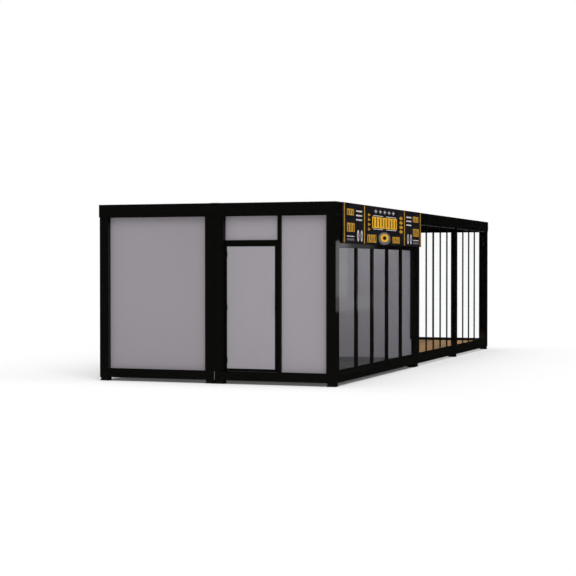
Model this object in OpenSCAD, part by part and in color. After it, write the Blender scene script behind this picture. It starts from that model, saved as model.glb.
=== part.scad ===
// Modular cafe kiosk: a room of two steel-framed modules side by side, with a glazed terrace behind it.
// X runs along the near gable, Y runs away from it, and Z is up from the ground. All lengths are in mm.

/* [Modules] */
// Width of one module
module_w = 2169; // [1900:1:2500]
// Joint between neighbouring modules
seam_gap = 12; // [6:1:30]
// Length of the closed room
room_l = 5230; // [4200:10:6500]
// Length of the terrace
terrace_l = 6758; // [5600:10:8000]
// Height of the body, from the underside of the base beams to the top of the roof beams
body_h = 3020; // [2850:5:3400]
// Height of the feet
foot_h = 60; // [40:5:120]

/* [Steel frame] */
// Side of a square corner post
post = 165; // [140:5:200]
// Side of the slim posts half way along the terrace
mid_post = 100; // [80:5:140]
// Distance from the start of the terrace to its slim post
mid_post_y = 3395; // [2800:5:3600]
// Height of the base beams
base_beam_h = 150; // [120:5:200]
// Height of the roof beams
roof_beam_h = 220; // [180:5:260]
// How far the roof beams stand out past the posts
roof_beam_proud = 10; // [5:1:25]
// Side of a foot's base plate
foot_plate = 160; // [120:5:165]
// Thickness of a foot's base plate
foot_plate_t = 12; // [8:1:20]
// Side of a foot's stub
foot_stub = 140; // [90:5:150]

/* [Floor and roof] */
// Height of the room floor above the underside of the base beams
floor_level = 120; // [100:5:140]
// Thickness of the room floor
floor_t = 40; // [25:5:50]
// Height of the terrace deck above the underside of the base beams
deck_level = 145; // [110:5:148]
// Thickness of the deck boards
deck_t = 40; // [25:5:50]
// Width of a floor joist
joist_w = 60; // [40:5:80]
// Largest spacing of the floor joists
joist_pitch = 1200; // [700:50:1600]
// Thickness of the roof panels between their ribs
roof_t = 120; // [80:5:140]
// How far the roof beams stand above the roof panels
roof_sunk = 60; // [40:5:80]
// Height of the ribs of the roof's trapezoidal sheet
rib_h = 28; // [15:1:35]
// Width of a rib at its foot
rib_foot_w = 90; // [60:5:110]
// Width of a rib at its top
rib_top_w = 50; // [25:5:60]
// Spacing of the ribs
rib_pitch = 205; // [150:5:300]
// Width of the sheet strip over the joints of the roof
flashing_w = 150; // [80:5:190]
// Thickness of the sheet strip over the joints of the roof
flashing_t = 4; // [2:1:6]

/* [Wall panels] */
// Setback of the wall panels from the face of the posts
panel_recess = 80; // [60:5:90]
// Setback of the mullions and of the door's frame from the face of the posts
frame_recess = 45; // [35:1:55]
// Width of a mullion between wall panels
mullion_w = 60; // [40:2:80]
// Thickness of the lining across the posts at the end of the room
lining_t = 20; // [12:1:30]
// Panels along the closed long wall
wall_bays = 3; // [2:1:5]

/* [Door] */
// Clear width between the seam post and the door mullion
door_w = 960; // [850:2:1100]
// Height of the panel over the door
transom_panel_h = 418; // [200:2:600]
// Thickness of the panel over the door
transom_panel_t = 40; // [20:2:60]
// Height of the transom bar
transom_h = 52; // [40:2:80]
// Running gap round the leaf
door_gap = 8; // [6:1:12]
// Thickness of the leaf
leaf_t = 50; // [40:2:56]
// Width of the leaf's stiles
stile_w = 33; // [30:1:70]
// Height of the leaf's rails
rail_h = 40; // [30:1:80]
// Setback of the leaf's infill from both faces of the leaf
infill_recess = 3; // [1:0.5:8]
// Height of the threshold plate
threshold_h = 4; // [2:1:5]
// Width of the stop strips that the leaf closes against
stop_w = 14; // [12:1:16]
// Depth of the stop strips that the leaf closes against
stop_d = 20; // [12:1:24]
// Gap between the closed leaf and the stop strips
stop_gap = 6; // [5:0.5:8]

/* [Hinges and handle] */
// Hinges on the leaf
hinge_count = 3; // [2:1:4]
// Radius of a hinge knuckle
knuckle_r = 9; // [8:0.5:10]
// Radius of a hinge pin
pin_r = 5; // [4:0.5:6]
// Radial running clearance of a hinge pin
pin_clearance = 0.05; // [0.02:0.01:0.09]
// Length of one hinge knuckle
knuckle_l = 30; // [24:1:50]
// Height of the lever above the floor
lever_height = 1050; // [900:10:1150]
// Length of the lever on the inside
lever_l = 130; // [100:5:160]
// Length of the pull bar on the outside
pull_l = 320; // [200:10:500]
// How far the middle of the pull bar stands off the leaf
pull_reach = 35.5; // [30:0.5:36]

/* [Room glazing] */
// Panes along the glazed side of the room
side_panes = 5; // [3:1:8]
// Width of a mullion between the panes
side_mullion_w = 76; // [40:2:100]
// Width of the jambs beside the posts
side_jamb_w = 48; // [30:2:80]
// Depth of the glazing frame
side_frame_d = 30; // [28:1:60]
// Setback of the glazing frame from the face of the posts
side_recess = 5; // [2:1:20]
// Thickness of the insulating glass
side_glass_t = 18; // [12:1:22]
// Height of the sill rail
sill_rail_h = 54; // [40:2:80]
// Height of the head rail
head_rail_h = 72; // [50:2:90]
// Height of the blind panel between the head rail and the roof beam
header_h = 468; // [200:2:700]
// Depth of the slots that hold the edges of the panes
pane_seat = 12; // [8:1:16]
// Clearance of a pane in its slots, here and in the terrace
pane_gap = 0.3; // [0.2:0.1:1]

/* [Sign] */
// Distance from the near gable to the sign board
sign_start = 320; // [0:5:600]
// How far the sign board runs on past the end of the room
sign_past = 270; // [0:5:500]
// Thickness of the sign board
sign_t = 18; // [10:1:40]

/* [Terrace glazing] */
// Panes in each bay along the terrace
bay_panes = 5; // [3:1:7]
// Panes in each half of the terrace's end
end_panes = 3; // [2:1:4]
// Extra width of the panes beside the room and beside the slim posts
wide_pane = 120; // [0:10:200]
// Extra width of the panes beside the middle posts of the terrace's end
wide_end_pane = 40; // [0:10:200]
// Thickness of the terrace glass
terrace_glass_t = 12; // [8:1:16]
// Setback of the terrace glass from the face of the posts, to its middle
terrace_glass_recess = 30; // [25:1:50]
// Width of the upright profile between two panes
joint_w = 14; // [12:1:30]
// Depth of the upright profiles that hold the panes
joint_d = 16; // [15:1:30]
// Height of the bottom channel
channel_h = 54; // [40:2:80]
// Depth of the bottom channel
channel_d = 44; // [30:2:50]
// Depth of the slot in the bottom channel
channel_seat = 20; // [12:1:30]
// Height of the head track
track_h = 12; // [10:1:40]
// Depth of the slots in the head track and in the upright profiles
glass_seat = 5; // [3:1:6]
// Width of the jamb profiles beside the posts
jamb_w = 25; // [15:1:60]

/* [Hidden] */
$fn = 48;

// The beams are as thick as the posts that stand on them
beam_t = post;
body_w = 2 * module_w + seam_gap;
body_l = room_l + seam_gap + terrace_l;
terrace_y = room_l + seam_gap;
second_x = module_w + seam_gap;
base_top = foot_h + base_beam_h;
roof_top = foot_h + body_h;
soffit = roof_top - roof_beam_h;
floor_top = foot_h + floor_level;
deck_top = foot_h + deck_level;
roof_sheet = roof_top - roof_sunk;
ceiling = roof_sheet - roof_t;
side_x = body_w;
sign_face_x = body_w + roof_beam_proud + sign_t;
mid_y = terrace_y + mid_post_y;

// The origin lies under the middle of the whole body, with the sign board counted in
centre_x = (sign_face_x - roof_beam_proud) / 2;
centre_y = body_l / 2;

door_x = second_x + post;
mullion_x = door_x + door_w;
leaf_x = [door_x + door_gap, mullion_x - door_gap];
leaf_y = [frame_recess, frame_recess + leaf_t];
transom_z = [soffit - transom_panel_h - transom_h, soffit - transom_panel_h];
leaf_z = [base_top + threshold_h + 6, transom_z[0] - 6];
leaf_h = leaf_z[1] - leaf_z[0];
hinge_x = door_x + knuckle_r + 5;
hinge_y = leaf_y[0] - knuckle_r - 3;
hinge_gap = 1;
hinge_span = 3 * knuckle_l + 2 * hinge_gap;

sill_z = [base_top, base_top + sill_rail_h];
head_z = [soffit - header_h - head_rail_h, soffit - header_h];
room_bay = [post, room_l - post];
channel_z = [base_top, base_top + channel_h];
bays = [[terrace_y + post, mid_y], [mid_y + mid_post, body_l - post]];
halves = [[post, module_w - post], [second_x + post, body_w - post]];

steel = [0.06, 0.06, 0.055];
grey = [0.57, 0.55, 0.58];
glass = [0.45, 0.48, 0.50];
timber = [0.62, 0.49, 0.36];
board = [0.10, 0.09, 0.11];
rubber = [0.03, 0.03, 0.03];

module placed() {
    translate([-centre_x, -centre_y, 0]) children();
}

// A box from three pairs of low and high limits
module block(x, y, z) {
    translate([x[0], y[0], z[0]]) cube([x[1] - x[0], y[1] - y[0], z[1] - z[0]]);
}

// Left edges of the two modules, and the two lengths of the body
module_edges = [0, second_x];
foot_inset = post / 2;
foot_xs = [for (x = module_edges) each [x + foot_inset, x + module_w - foot_inset]];
foot_ys = [
    foot_inset, room_l - foot_inset, terrace_y + foot_inset, mid_y + mid_post / 2, body_l - foot_inset
];

// A square base plate with the stub of the post on it
module feet() {
    color(rubber)
        for (x = foot_xs, y = foot_ys)
            translate([x, y, 0]) {
                translate([-foot_plate / 2, -foot_plate / 2, 0]) cube([foot_plate, foot_plate, foot_plate_t]);
                translate([-foot_stub / 2, -foot_stub / 2, 0]) cube([foot_stub, foot_stub, foot_h]);
            }
}

// The ring of beams round one module: two long beams and two cross beams between them. The beam
// along the joint is lower where a floor runs over it.
module base_ring(x0, y, inner_h) {
    left_h = x0 == 0 ? base_beam_h : inner_h;
    right_h = x0 == 0 ? inner_h : base_beam_h;
    x1 = x0 + module_w;
    block([x0, x0 + beam_t], y, [foot_h, foot_h + left_h]);
    block([x1 - beam_t, x1], y, [foot_h, foot_h + right_h]);
    for (y0 = [y[0], y[1] - beam_t])
        block([x0 + beam_t, x1 - beam_t], [y0, y0 + beam_t], [foot_h, base_top]);
}

module room_base_beams() {
    color(steel)
        for (x0 = module_edges)
            base_ring(x0, [0, room_l], floor_level - floor_t);
}

module terrace_base_beams() {
    color(steel)
        for (x0 = module_edges)
            base_ring(x0, [terrace_y, body_l], deck_level - deck_t);
}

// Joists across one module, evenly spaced between its cross beams
module joists(x0, y, level) {
    clear = y[1] - y[0] - 2 * beam_t;
    count = ceil(clear / joist_pitch) - 1;
    for (i = [1:count]) {
        yc = y[0] + beam_t + clear * i / (count + 1);
        block([x0 + beam_t, x0 + module_w - beam_t], [yc - joist_w / 2, yc + joist_w / 2],
              [foot_h, foot_h + level]);
    }
}

module floor_joists() {
    color(steel)
        for (x0 = module_edges) {
            joists(x0, [0, room_l], floor_level - floor_t);
            joists(x0, [terrace_y, body_l], deck_level - deck_t);
        }
}

module room_floor() {
    color(grey)
        block([beam_t, body_w - beam_t], [beam_t, room_l - beam_t], [floor_top - floor_t, floor_top]);
}

module terrace_deck() {
    color(timber)
        block([beam_t, body_w - beam_t], [terrace_y + beam_t, body_l - beam_t],
              [deck_top - deck_t, deck_top]);
}

module upright(x, y, side) {
    block([x, x + side], [y, y + side], [base_top, soffit]);
}

// Corner posts stand on the base beams at the outer corners
module corner_posts(y) {
    for (x = [0, body_w - post], yc = [y[0], y[1] - post])
        upright(x, yc, post);
}

// Seam posts stand in pairs on both sides of the joint between the two modules
module seam_posts(y) {
    for (x = [module_w - post, second_x], yc = [y[0], y[1] - post])
        upright(x, yc, post);
}

module room_corner_posts() {
    color(steel) corner_posts([0, room_l]);
}

module room_seam_posts() {
    color(steel) seam_posts([0, room_l]);
}

module terrace_corner_posts() {
    color(steel) corner_posts([terrace_y, body_l]);
}

module terrace_seam_posts() {
    color(steel) seam_posts([terrace_y, body_l]);
}

module terrace_mid_posts() {
    color(steel)
        for (x = [0, body_w - mid_post])
            upright(x, mid_y, mid_post);
}

// The roof ring of one module stands out past the posts on the outer sides
module roof_ring(x0, y, front, back) {
    left = x0 == 0 ? roof_beam_proud : 0;
    right = x0 == 0 ? 0 : roof_beam_proud;
    x1 = x0 + module_w;
    long_y = [y[0] - front, y[1] + back];
    block([x0 - left, x0 + beam_t], long_y, [soffit, roof_top]);
    block([x1 - beam_t, x1 + right], long_y, [soffit, roof_top]);
    block([x0 + beam_t, x1 - beam_t], [y[0] - front, y[0] + beam_t], [soffit, roof_top]);
    block([x0 + beam_t, x1 - beam_t], [y[1] - beam_t, y[1] + back], [soffit, roof_top]);
}

module room_roof_beams() {
    color(steel)
        for (x0 = module_edges)
            roof_ring(x0, [0, room_l], roof_beam_proud, 0);
}

module terrace_roof_beams() {
    color(steel)
        for (x0 = module_edges)
            roof_ring(x0, [terrace_y, body_l], 0, roof_beam_proud);
}

// Section across one module's roof: a flat panel under a trapezoidal sheet, with the points of each rib
function roof_section(width) =
    let (count = floor(width / rib_pitch), start = (width - count * rib_pitch) / 2)
    concat(
        [[0, ceiling], [0, roof_sheet]],
        [for (i = [0:count - 1], p = [[-rib_foot_w, 0], [-rib_top_w, rib_h], [rib_top_w, rib_h], [rib_foot_w, 0]])
            [start + (i + 0.5) * rib_pitch + p[0] / 2, roof_sheet + p[1]]],
        [[width, roof_sheet], [width, ceiling]]
    );

// The ribs run along the module
module roof_panels(y) {
    for (x0 = module_edges)
        translate([x0 + beam_t, y[1] - beam_t, 0])
            rotate([90, 0, 0])
                linear_extrude(y[1] - y[0] - 2 * beam_t)
                    polygon(roof_section(module_w - 2 * beam_t));
}

module room_roof() {
    color(grey) roof_panels([0, room_l]);
}

module terrace_roof() {
    color(grey) roof_panels([terrace_y, body_l]);
}

// Sheet strips close the joints between the four modules from above
module roof_flashing() {
    seam_x = module_w + seam_gap / 2;
    joint_y = room_l + seam_gap / 2;
    strip_z = [roof_top, roof_top + flashing_t];
    color(steel) {
        block([seam_x - flashing_w / 2, seam_x + flashing_w / 2], [0, body_l], strip_z);
        block([0, body_w], [joint_y - flashing_w / 2, joint_y + flashing_w / 2], strip_z);
    }
}

// Strips close the joints between the posts, set back a little from their faces
module seam_covers() {
    strip_back = 6;
    strip_d = 30;
    color(steel) {
        for (y = [strip_back, body_l - strip_back - strip_d])
            block([module_w, second_x], [y, y + strip_d], [base_top, roof_top]);
        for (x = [strip_back, body_w - strip_back - strip_d])
            block([x, x + strip_d], [room_l, terrace_y], [base_top, roof_top]);
    }
}

// Wall panels are flush with the posts on the inside, and set back outside
wall_d = [panel_recess, post];

module gable_panel_left() {
    color(grey) block(halves[0], wall_d, [base_top, soffit]);
}

module gable_panel_right() {
    color(grey) block([mullion_x + mullion_w, halves[1][1]], wall_d, [base_top, soffit]);
}

module door_mullion() {
    color(steel) block([mullion_x, mullion_x + mullion_w], [frame_recess, post], [base_top, soffit]);
}

module transom_bar() {
    color(steel) block([door_x, mullion_x], [frame_recess, post], transom_z);
}

module transom_panel() {
    color(grey)
        block([door_x, mullion_x], [panel_recess, panel_recess + transom_panel_t], [transom_z[1], soffit]);
}

// The leaf closes against strips behind it, on both jambs and under the transom bar
module door_stops() {
    stop_y = [leaf_y[1] + stop_gap, leaf_y[1] + stop_gap + stop_d];
    top_z = [transom_z[0] - stop_w, transom_z[0]];
    strip_gap = 1;
    color(steel) {
        block([door_x, door_x + stop_w], stop_y, [base_top, transom_z[0]]);
        block([mullion_x - stop_w, mullion_x], stop_y, [base_top, transom_z[0]]);
        block([door_x + stop_w + strip_gap, mullion_x - stop_w - strip_gap], stop_y, top_z);
    }
}

// A plate with a ramp at its outer edge
module door_threshold() {
    ramp = 18;
    outer_y = 10;
    color(grey)
        translate([door_x, 0, base_top])
            rotate([90, 0, 90])
                linear_extrude(door_w)
                    polygon([
                        [outer_y, 0], [leaf_y[1], 0], [leaf_y[1], threshold_h],
                        [outer_y + ramp, threshold_h], [outer_y, threshold_h / 4]
                    ]);
}

hinge_zs = [
    for (i = [0:hinge_count - 1])
        leaf_z[0] + 180 + (leaf_h - 360) * i / (hinge_count - 1)
];

// Two fixed knuckles with their pin and its heads, carried by a plate on the side of the seam post
module hinge_frame_side() {
    half = hinge_span / 2;
    plate_t = 4;
    head_t = 3;
    color(steel)
        for (z = hinge_zs)
            translate([hinge_x, hinge_y, z - half]) {
                cylinder(r = pin_r, h = hinge_span);
                for (dz = [-head_t, hinge_span])
                    translate([0, 0, dz]) cylinder(r = pin_r + 2, h = head_t);
                for (dz = [0, hinge_span - knuckle_l])
                    translate([0, 0, dz]) {
                        cylinder(r = knuckle_r, h = knuckle_l);
                        block([door_x - hinge_x, 0], [-6, 6], [0, knuckle_l]);
                    }
                block([door_x - hinge_x, door_x - hinge_x + plate_t], [-22, 6], [0, hinge_span]);
            }
}

// One bored knuckle between the fixed ones, on a plate screwed to the leaf
module hinge_leaf_side() {
    half = hinge_span / 2;
    plate_t = 2;
    to_leaf = leaf_y[0] - hinge_y;
    color(steel)
        for (z = hinge_zs)
            translate([hinge_x, hinge_y, z - half]) {
                difference() {
                    union() {
                        translate([0, 0, knuckle_l + hinge_gap]) cylinder(r = knuckle_r, h = knuckle_l);
                        block([0, 24], [pin_r + 2, to_leaf],
                              [knuckle_l + hinge_gap, 2 * knuckle_l + hinge_gap]);
                    }
                    cylinder(r = pin_r + pin_clearance, h = hinge_span);
                }
                block([4, 40], [to_leaf - plate_t, to_leaf], [0, hinge_span]);
            }
}

// Edges of the bays of the closed long wall
left_pitch = (room_bay[1] - room_bay[0]) / wall_bays;
left_edges = [for (i = [0:wall_bays]) room_bay[0] + left_pitch * i];

module left_wall_mullions() {
    color(steel)
        for (i = [1:wall_bays - 1])
            block([frame_recess, post], [left_edges[i] - mullion_w / 2, left_edges[i] + mullion_w / 2],
                  [base_top, soffit]);
}

module left_wall_panels() {
    color(grey)
        for (i = [0:wall_bays - 1]) {
            low = left_edges[i] + (i > 0 ? mullion_w / 2 : 0);
            high = left_edges[i + 1] - (i < wall_bays - 1 ? mullion_w / 2 : 0);
            block(wall_d, [low, high], [base_top, soffit]);
        }
}

// The wall between the room and the terrace: a panel between the posts of each module, and a lining
// across them on the side of the room
module end_wall_panels() {
    color(grey) {
        for (x = halves)
            block(x, [room_l - post, room_l - panel_recess], [base_top, soffit]);
        block([post, side_frame_x[0]], [room_l - post - lining_t, room_l - post], [base_top, soffit]);
    }
}

// Section of a bar that holds the edge of a pane in a slot in its top
function slotted(width, height, slot, seat) = [
    [-width / 2, 0], [width / 2, 0], [width / 2, height], [slot / 2, height],
    [slot / 2, height - seat], [-slot / 2, height - seat], [-slot / 2, height], [-width / 2, height]
];

// Section of a bar between two panes, with a slot in both sides
function double_slotted(width, depth, slot, seat) =
    let (x = width / 2, y = depth / 2, s = slot / 2, web = width / 2 - seat)
    [
        [-x, -y], [x, -y], [x, -s], [web, -s], [web, s], [x, s], [x, y],
        [-x, y], [-x, s], [-web, s], [-web, -s], [-x, -s]
    ];

// The bars and panes of a glazed row are drawn along X, with the middle of the glass on y = 0.
// A rail's slot opens upwards, or downwards where down is 1.
module slotted_rail(run, z, width, slot, seat, down = 0) {
    translate([run[0], 0, z[down]])
        mirror([0, 0, down])
            rotate([90, 0, 90])
                linear_extrude(run[1] - run[0])
                    polygon(slotted(width, z[1] - z[0], slot, seat));
}

// An upright at each end of the run, with its slot towards the middle of the run
module slotted_jambs(run, z, width, depth, slot, seat) {
    for (end = [0, 1])
        translate([run[end], 0, z[0]])
            mirror([end, 0, 0])
                linear_extrude(z[1] - z[0])
                    rotate(-90)
                        polygon(slotted(depth, width, slot, seat));
}

module slotted_bars(xs, z, width, depth, slot, seat) {
    for (x = xs)
        translate([x, 0, z[0]])
            linear_extrude(z[1] - z[0])
                polygon(double_slotted(width, depth, slot, seat));
}

// One pane between each two neighbours in a list of edges. It stands on the floor of the lower slot
// and reaches into the other slots with a small clearance.
module panes(edges, z, t, jamb, bar, seat, foot_seat) {
    last = len(edges) - 1;
    reach = seat - pane_gap;
    for (i = [0:last - 1]) {
        low = edges[i] + (i == 0 ? jamb : bar / 2) - reach;
        high = edges[i + 1] - (i == last - 1 ? jamb : bar / 2) + reach;
        block([low, high], [-t / 2, t / 2], [z[0] - foot_seat, z[1] + reach]);
    }
}

// Edges of the panes in a run, where the first and the last pane may be wider than the others
function pane_edges(run, count, extra) =
    let (pitch = (run[1] - run[0] - extra[0] - extra[1]) / count)
    [for (i = [0:count])
        i == 0 ? run[0] : i == count ? run[1] : run[0] + extra[0] + pitch * i];

function inner(edges) = [for (i = [1:len(edges) - 2]) edges[i]];

// Places a row that was drawn along X so that it runs along Y at x
module along_y(x) {
    translate([x, 0, 0]) mirror([1, -1, 0]) children();
}

side_frame_x = [side_x - side_recess - side_frame_d, side_x - side_recess];
side_mid_x = (side_frame_x[0] + side_frame_x[1]) / 2;
side_clear = [room_bay[0] + side_jamb_w, room_bay[1] - side_jamb_w];
side_pitch = (side_clear[1] - side_clear[0]) / side_panes;
side_edges = [
    for (i = [0:side_panes])
        i == 0 ? room_bay[0] : i == side_panes ? room_bay[1] : side_clear[0] + side_pitch * i
];
side_opening_z = [sill_z[1], head_z[0]];
side_slot = side_glass_t + 2 * pane_gap;

module side_rails() {
    color(steel)
        along_y(side_mid_x) {
            slotted_rail(room_bay, sill_z, side_frame_d, side_slot, pane_seat);
            slotted_rail(room_bay, head_z, side_frame_d, side_slot, pane_seat, 1);
        }
}

module side_mullions() {
    color(steel)
        along_y(side_mid_x) {
            slotted_jambs(room_bay, side_opening_z, side_jamb_w, side_frame_d, side_slot, pane_seat);
            slotted_bars(inner(side_edges), side_opening_z, side_mullion_w, side_frame_d, side_slot,
                         pane_seat);
        }
}

module side_glass() {
    color(glass)
        along_y(side_mid_x)
            panes(side_edges, side_opening_z, side_glass_t, side_jamb_w, side_mullion_w, pane_seat,
                  pane_seat);
}

module side_header_panel() {
    color(steel) block(side_frame_x, room_bay, [head_z[1], soffit]);
}

module sign_board() {
    color(board)
        block([body_w + roof_beam_proud, sign_face_x], [sign_start, room_l + sign_past],
              [head_z[1], roof_top]);
}

side_rows = [terrace_glass_recess, side_x - terrace_glass_recess];
end_row = body_l - terrace_glass_recess;
glass_z = [channel_z[1], soffit - track_h];
track_z = [soffit - track_h, soffit];
terrace_slot = terrace_glass_t + 2 * pane_gap;

// Edges of the panes in the two bays along the terrace, and in the two halves of its end
bay_edges = [
    pane_edges(bays[0], bay_panes, [wide_pane, wide_pane]),
    pane_edges(bays[1], bay_panes, [wide_pane, 0])
];
half_edges = [
    pane_edges(halves[0], end_panes, [0, wide_end_pane]),
    pane_edges(halves[1], end_panes, [wide_end_pane, 0])
];

module channels(run) {
    slotted_rail(run, channel_z, channel_d, terrace_slot, channel_seat);
    slotted_rail(run, track_z, channel_d, terrace_slot, glass_seat, 1);
}

module jambs(run) {
    slotted_jambs(run, glass_z, jamb_w, joint_d, terrace_slot, glass_seat);
}

module joints(edges) {
    slotted_bars(inner(edges), glass_z, joint_w, joint_d, terrace_slot, glass_seat);
}

module terrace_panes(edges) {
    panes(edges, glass_z, terrace_glass_t, jamb_w, joint_w, glass_seat, channel_seat);
}

// Channels at the floor that the terrace glass stands in, and tracks at the roof that hold its top
module terrace_channels() {
    color(steel) {
        for (x = side_rows, bay = bays) along_y(x) channels(bay);
        translate([0, end_row, 0])
            for (half = halves) channels(half);
    }
}

module terrace_jambs() {
    color(steel) {
        for (x = side_rows, bay = bays) along_y(x) jambs(bay);
        translate([0, end_row, 0])
            for (half = halves) jambs(half);
    }
}

module terrace_glass_right() {
    color(glass)
        along_y(side_rows[1])
            for (edges = bay_edges) terrace_panes(edges);
}

module terrace_glass_left() {
    color(glass)
        along_y(side_rows[0])
            for (edges = bay_edges) terrace_panes(edges);
}

module terrace_glass_end() {
    color(glass)
        translate([0, end_row, 0])
            for (edges = half_edges) terrace_panes(edges);
}

module terrace_glass_joints() {
    color(steel) {
        for (x = side_rows, edges = bay_edges) along_y(x) joints(edges);
        translate([0, end_row, 0])
            for (edges = half_edges) joints(edges);
    }
}

module door_stiles() {
    color(steel)
        for (x = [leaf_x[0], leaf_x[1] - stile_w])
            block([x, x + stile_w], leaf_y, leaf_z);
}

module door_rails() {
    color(steel)
        for (z = [leaf_z[0], leaf_z[1] - rail_h])
            block([leaf_x[0] + stile_w, leaf_x[1] - stile_w], leaf_y, [z, z + rail_h]);
}

module door_infill() {
    color(grey)
        block([leaf_x[0] + stile_w, leaf_x[1] - stile_w],
              [leaf_y[0] + infill_recess, leaf_y[1] - infill_recess],
              [leaf_z[0] + rail_h, leaf_z[1] - rail_h]);
}

// A lever that leaves the face along Y and bends round to run back over the leaf
module lever(neck, r) {
    bend_r = 14;
    rotate([-90, 0, 0]) cylinder(r = r, h = neck - bend_r);
    translate([-bend_r, neck - bend_r, 0])
        rotate_extrude(angle = 90) translate([bend_r, 0]) circle(r = r);
    translate([-bend_r, neck, 0]) rotate([0, -90, 0]) cylinder(r = r, h = lever_l - bend_r);
    translate([-lever_l, neck, 0]) sphere(r = r);
}

// An upright bar with round ends, on two arms that stand on the face along Y
module pull(r, arm_r, arm_inset) {
    translate([0, pull_reach, 0]) cylinder(r = r, h = pull_l);
    translate([0, pull_reach, 0]) sphere(r = r);
    translate([0, pull_reach, pull_l]) sphere(r = r);
    for (z = [arm_inset, pull_l - arm_inset])
        translate([0, 0, z]) rotate([-90, 0, 0]) cylinder(r = arm_r, h = pull_reach);
}

// A plate with round ends and the boss of the lock on each face of the stile, with a lever on the
// inside and a pull bar that starts above the lock on the outside
module door_handle() {
    rose_l = 120;
    rose_w = 18;
    rose_t = 8;
    neck = 32;
    lever_r = 8;
    lock_r = 7;
    lock_drop = 42;
    edge_gap = 4;
    pull_r = 7;
    pull_arm_r = 5;
    pull_inset = 50;
    pull_rise = 26;
    pull_edge = 14;
    xc = leaf_x[1] - stile_w + rose_w / 2 + edge_gap;
    zc = floor_top + lever_height;
    color(steel) {
        for (side = [0, 1])
            translate([xc, leaf_y[side], zc]) mirror([0, 1 - side, 0]) {
                rotate([-90, 0, 0])
                    linear_extrude(rose_t)
                        union() {
                            square([rose_w, rose_l - rose_w], center = true);
                            for (dz = [-1, 1])
                                translate([0, dz * (rose_l - rose_w) / 2]) circle(r = rose_w / 2);
                        }
                translate([0, 0, -lock_drop]) rotate([-90, 0, 0]) cylinder(r = lock_r, h = rose_t + 4);
            }
        translate([xc, leaf_y[1], zc]) lever(neck, lever_r);
        translate([leaf_x[1] - pull_edge, leaf_y[0], zc + pull_rise]) mirror([0, 1, 0])
            pull(pull_r, pull_arm_r, pull_inset);
    }
}

placed() feet();
placed() room_base_beams();
placed() terrace_base_beams();
placed() floor_joists();
placed() room_floor();
placed() terrace_deck();
placed() room_corner_posts();
placed() room_seam_posts();
placed() terrace_corner_posts();
placed() terrace_seam_posts();
placed() terrace_mid_posts();
placed() room_roof_beams();
placed() terrace_roof_beams();
placed() room_roof();
placed() terrace_roof();
placed() roof_flashing();
placed() seam_covers();
placed() gable_panel_left();
placed() gable_panel_right();
placed() door_mullion();
placed() transom_bar();
placed() transom_panel();
placed() door_stops();
placed() door_threshold();
placed() hinge_frame_side();
placed() left_wall_mullions();
placed() left_wall_panels();
placed() end_wall_panels();
placed() side_rails();
placed() side_mullions();
placed() side_glass();
placed() side_header_panel();
placed() sign_board();
placed() terrace_channels();
placed() terrace_jambs();
placed() terrace_glass_right();
placed() terrace_glass_left();
placed() terrace_glass_end();
placed() terrace_glass_joints();
placed() door_stiles();
placed() door_rails();
placed() door_infill();
placed() door_handle();
placed() hinge_leaf_side();
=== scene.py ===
"""Finishes, fine detail, light and camera for a modular kiosk pavilion with a glazed terrace.

The frame is the kiosk's own model: posts, beams, panels, panes and the door leaf. Everything here is
in metres in the frame's axes: +X to the right along the gable with the door, +Y away from it, +Z up.
"""
import logging
import math
from dataclasses import dataclass, field
from enum import Enum
from typing import Callable, Sequence

import bmesh
import bpy
from mathutils import Matrix, Vector


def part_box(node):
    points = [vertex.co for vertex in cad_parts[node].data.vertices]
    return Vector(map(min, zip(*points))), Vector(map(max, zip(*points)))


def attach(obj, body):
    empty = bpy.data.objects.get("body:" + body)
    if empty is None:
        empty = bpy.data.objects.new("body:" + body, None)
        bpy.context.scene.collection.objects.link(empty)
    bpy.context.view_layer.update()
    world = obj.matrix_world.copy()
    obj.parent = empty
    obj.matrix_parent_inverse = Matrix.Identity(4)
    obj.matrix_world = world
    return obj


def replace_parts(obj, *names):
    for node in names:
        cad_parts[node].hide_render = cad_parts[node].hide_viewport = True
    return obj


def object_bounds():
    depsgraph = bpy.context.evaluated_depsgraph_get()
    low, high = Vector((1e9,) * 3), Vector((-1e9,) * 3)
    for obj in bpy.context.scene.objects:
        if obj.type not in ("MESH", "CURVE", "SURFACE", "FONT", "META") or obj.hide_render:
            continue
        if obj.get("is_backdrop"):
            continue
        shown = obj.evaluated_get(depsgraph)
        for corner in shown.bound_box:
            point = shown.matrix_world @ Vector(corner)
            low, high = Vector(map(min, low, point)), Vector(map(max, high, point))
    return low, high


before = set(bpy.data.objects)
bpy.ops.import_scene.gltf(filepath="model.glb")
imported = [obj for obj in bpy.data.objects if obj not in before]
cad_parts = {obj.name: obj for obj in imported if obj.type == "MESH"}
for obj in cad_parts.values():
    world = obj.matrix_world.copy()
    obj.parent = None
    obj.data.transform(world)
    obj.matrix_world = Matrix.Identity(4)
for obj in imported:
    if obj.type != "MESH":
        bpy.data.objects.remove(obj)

LOG = logging.getLogger("kiosk")
BED = 0.0002  # How far a thin piece reaches into the face that it lies on.

Point = tuple[float, float, float]
Colour = tuple[float, float, float]
Span = tuple[float, float]
Node = bpy.types.Node
Socket = bpy.types.NodeSocket
Sockets = bpy.types.bpy_prop_collection


class Body(str, Enum):
    """The two bodies that a piece can ride on."""

    BUILDING = "building"
    DOOR = "door"


class Slot(str, Enum):
    """Names of material slots; each new piece holds one, which nothing here uses."""

    FRAME = "frame_black"
    PANEL = "panel_grey"
    ROOF = "roof_panel"
    DECK = "deck_wood"
    SIGN = "sign_face"
    THRESHOLD = "threshold_alu"


class Axis(Enum):
    """Directions that a round piece can point along, as the turn that brings Z there."""

    X = Matrix.Rotation(math.pi / 2, 4, "Y")
    Y = Matrix.Rotation(-math.pi / 2, 4, "X")
    Z = Matrix.Identity(4)


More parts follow.
